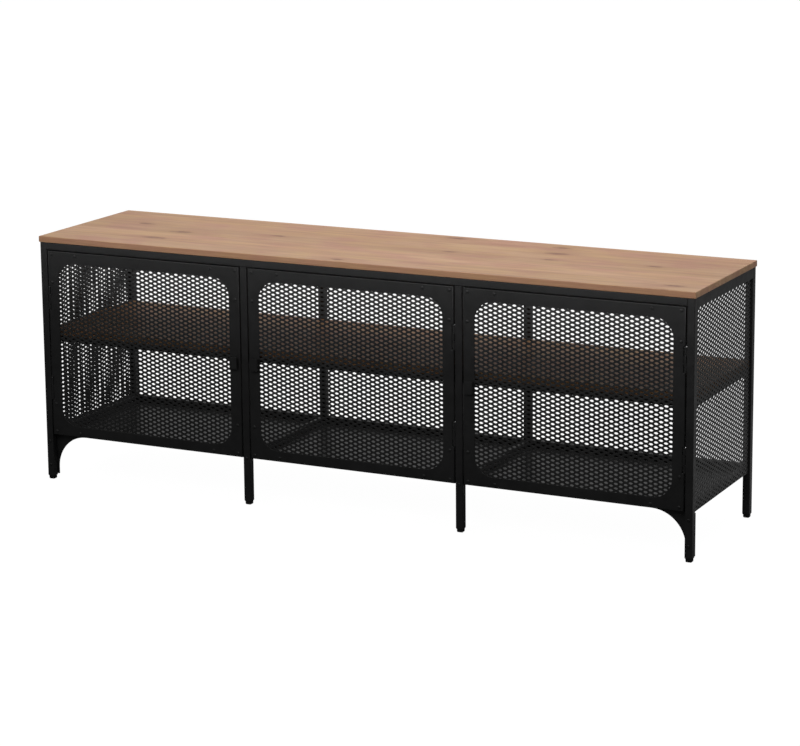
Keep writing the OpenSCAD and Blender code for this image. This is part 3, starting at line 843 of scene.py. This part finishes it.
def add_camera():
    """The camera at the photographed viewing angle."""
    data = bpy.data.cameras.new("camera")
    data.lens = CAMERA_LENS
    data.shift_x, data.shift_y = CAMERA_SHIFT
    data.clip_end = 100.0
    camera = bpy.data.objects.new("camera", data)
    bpy.context.scene.collection.objects.link(camera)
    turn = Matrix.Rotation(CAMERA_YAW, 4, "Z")
    tilt = Matrix.Rotation(math.pi / 2 - CAMERA_PITCH, 4, "X")
    roll = Matrix.Rotation(CAMERA_ROLL, 4, "Z")
    camera.matrix_world = Matrix.Translation(CAMERA_PLACE) @ turn @ tilt @ roll
    bpy.context.scene.camera = camera


def add_world():
    """White behind the object; as a light it is dimmer, and dimmest in front and low down."""
    world = bpy.data.worlds.new("studio")
    bpy.context.scene.world = world
    world.use_nodes = True
    tree = world.node_tree
    tree.nodes.clear()
    direction = add_node(tree, "ShaderNodeTexCoord").outputs["Generated"]
    up = add_node(tree, "ShaderNodeSeparateXYZ", {"Vector": direction}).outputs["Z"]
    back = add_node(tree, "ShaderNodeSeparateXYZ", {"Vector": direction}).outputs["Y"]
    horizon = spread(tree, back, -0.6, 0.8, WORLD_FRONT, WORLD_REAR)
    strength = calc(tree, "ADD", horizon, spread(tree, up, 0.1, 0.9, 0.0, WORLD_TOP))
    light = add_node(tree, "ShaderNodeBackground", {"Color": rgb(1, 1, 1), "Strength": strength})
    seen = add_node(tree, "ShaderNodeBackground", {"Color": rgb(1, 1, 1), "Strength": 1.0})
    ray = add_node(tree, "ShaderNodeLightPath").outputs["Is Camera Ray"]
    inputs = {0: ray, 1: light.outputs[0], 2: seen.outputs[0]}
    mixed = add_node(tree, "ShaderNodeMixShader", inputs)
    add_node(tree, "ShaderNodeOutputWorld", {"Surface": mixed.outputs[0]})


def add_softbox(name, place, target, width, height, power):
    """A rectangular area light aimed at a point."""
    data = bpy.data.lights.new(name, "AREA")
    data.shape = "RECTANGLE"
    data.size, data.size_y = width, height
    data.energy = power
    light = bpy.data.objects.new(name, data)
    bpy.context.scene.collection.objects.link(light)
    light.location = place
    light.rotation_euler = (Vector(target) - Vector(place)).to_track_quat("-Z", "Y").to_euler()


def add_floor():
    """A pale floor that reads white, like a studio sweep; as a light it is dim, most of all in front."""
    material = bpy.data.materials.new("floor")
    material.use_nodes = True
    tree = material.node_tree
    tree.nodes.clear()
    grey = rgb(FLOOR_FRONT, FLOOR_FRONT, FLOOR_FRONT)
    diffuse = add_node(tree, "ShaderNodeBsdfDiffuse", {"Color": grey})
    place = add_node(tree, "ShaderNodeTexCoord").outputs["Object"]
    back = add_node(tree, "ShaderNodeSeparateXYZ", {"Vector": place}).outputs["Y"]
    shade = spread(tree, back, -0.35, 0.5, FLOOR_FRONT, FLOOR_REAR)
    dim = add_node(tree, "ShaderNodeBsdfDiffuse", {"Color": shade})
    glow = add_node(tree, "ShaderNodeEmission", {"Color": rgb(1, 1, 1), "Strength": FLOOR_GLOW})
    seen = add_node(tree, "ShaderNodeAddShader", {0: diffuse.outputs[0], 1: glow.outputs[0]})
    ray = add_node(tree, "ShaderNodeLightPath").outputs["Is Camera Ray"]
    mixed = add_node(tree, "ShaderNodeMixShader", {0: ray, 1: dim.outputs[0], 2: seen.outputs[0]})
    add_node(tree, "ShaderNodeOutputMaterial", {"Surface": mixed.outputs[0]})
    mesh = bpy.data.meshes.new("floor")
    corners = [(x * FLOOR_HALF, y * FLOOR_HALF, 0) for x, y in ((-1, -1), (1, -1), (1, 1), (-1, 1))]
    mesh.from_pydata(corners, [], [(0, 1, 2, 3)])
    mesh.materials.append(material)
    floor = bpy.data.objects.new("floor", mesh)
    bpy.context.scene.collection.objects.link(floor)


# ---- The object ----


def paint_node(node, material):
    """Gives a CAD node that is shown as packed its finish and eased edges."""
    shown = NODES[node]
    shown.data.materials.clear()
    shown.data.materials.append(material)
    bevel = shown.modifiers.new("eased_edges", "BEVEL")
    bevel.width = PACKED_NODE_EASE
    bevel.segments = 2
    bevel.limit_method = "ANGLE"
    bevel.harden_normals = True


add_camera()
add_world()
add_floor()
for softbox in SOFTBOXES:
    add_softbox(*softbox)

steel = powder_coat("black_steel", (0.0135, 0.0135, 0.0138), 0.46, 0.5)
panel_steel = powder_coat("panel_steel", (0.026, 0.026, 0.0264), 0.32, 0.6)
mesh_steel = powder_coat("black_mesh", (0.014, 0.014, 0.0143), 0.45, 0.5)
plastic = moulded_plastic("black_plastic", (0.012, 0.012, 0.012))
zinc = zinc_plate("bare_steel")
top_pine = pine("pine_top", "top_board", TOP_COLOURS, TOP_STAVES, seed=1.0)
# The shelf's pine has painted shade in its darker colours.
shelf_pine_painted_shade = pine("pine_shelf", "shelf_board", SHADED_SHELF_COLOURS, SHELF_STAVES, seed=8.0)

board_piece("top_board", top_pine, TOP_EASE)
board_piece("shelf_board", shelf_pine_painted_shade, SHELF_EASE)

for name in sorted(NODES):
    if name.startswith(("post_front", "post_rear")) or "_rail" in name:
        tube_piece(name)

plans = [DoorPlan(door) for door in DOORS]
for plan in plans:
    door_frame_piece(plan)
    pull_piece(plan)
    rivet_piece(plan.door)
frame_screw_piece()
for name in ("feet_front", "feet_rear"):
    foot_piece(name)

window = plans[0]
door_sheet = expanded_sheet(window.window_half_width + MESH_WINDOW_LAP,
                            window.window_half_height + MESH_WINDOW_LAP, WINDOW_RADIUS)
for door in DOORS:
    mesh_piece(f"{door}_mesh", *door_sheet, turn=0.0)
low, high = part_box("side_mesh_right")
side_size = ((high.y - low.y) / 2, (high.z - low.z) / 2)
side_sheet = expanded_sheet(side_size[0] + MESH_COLUMN, side_size[1] + MESH_ROW, 0.0, side_size)
mesh_piece("side_mesh_right", *side_sheet, turn=math.pi / 2, cut=side_size)
mesh_piece("side_mesh_left", *side_sheet, turn=-math.pi / 2, cut=side_size)

OTHER_FINISHES = {
    "top_board_screws": (zinc, "bare_steel"),
    "hinge_pins": (zinc, "bare_steel"),
    "catch_magnets": (zinc, "bare_steel"),
    "magnetic_catches": (plastic, "black_plastic"),
    "bottom_panel": (panel_steel, "panel_steel"),
}
for name in sorted(NODES):
    if not NODES[name].hide_render:
        material, slot = OTHER_FINISHES.get(name, (steel, "black_steel"))
        paint_node(name, material)

bpy.context.scene.view_settings.view_transform = "Standard"
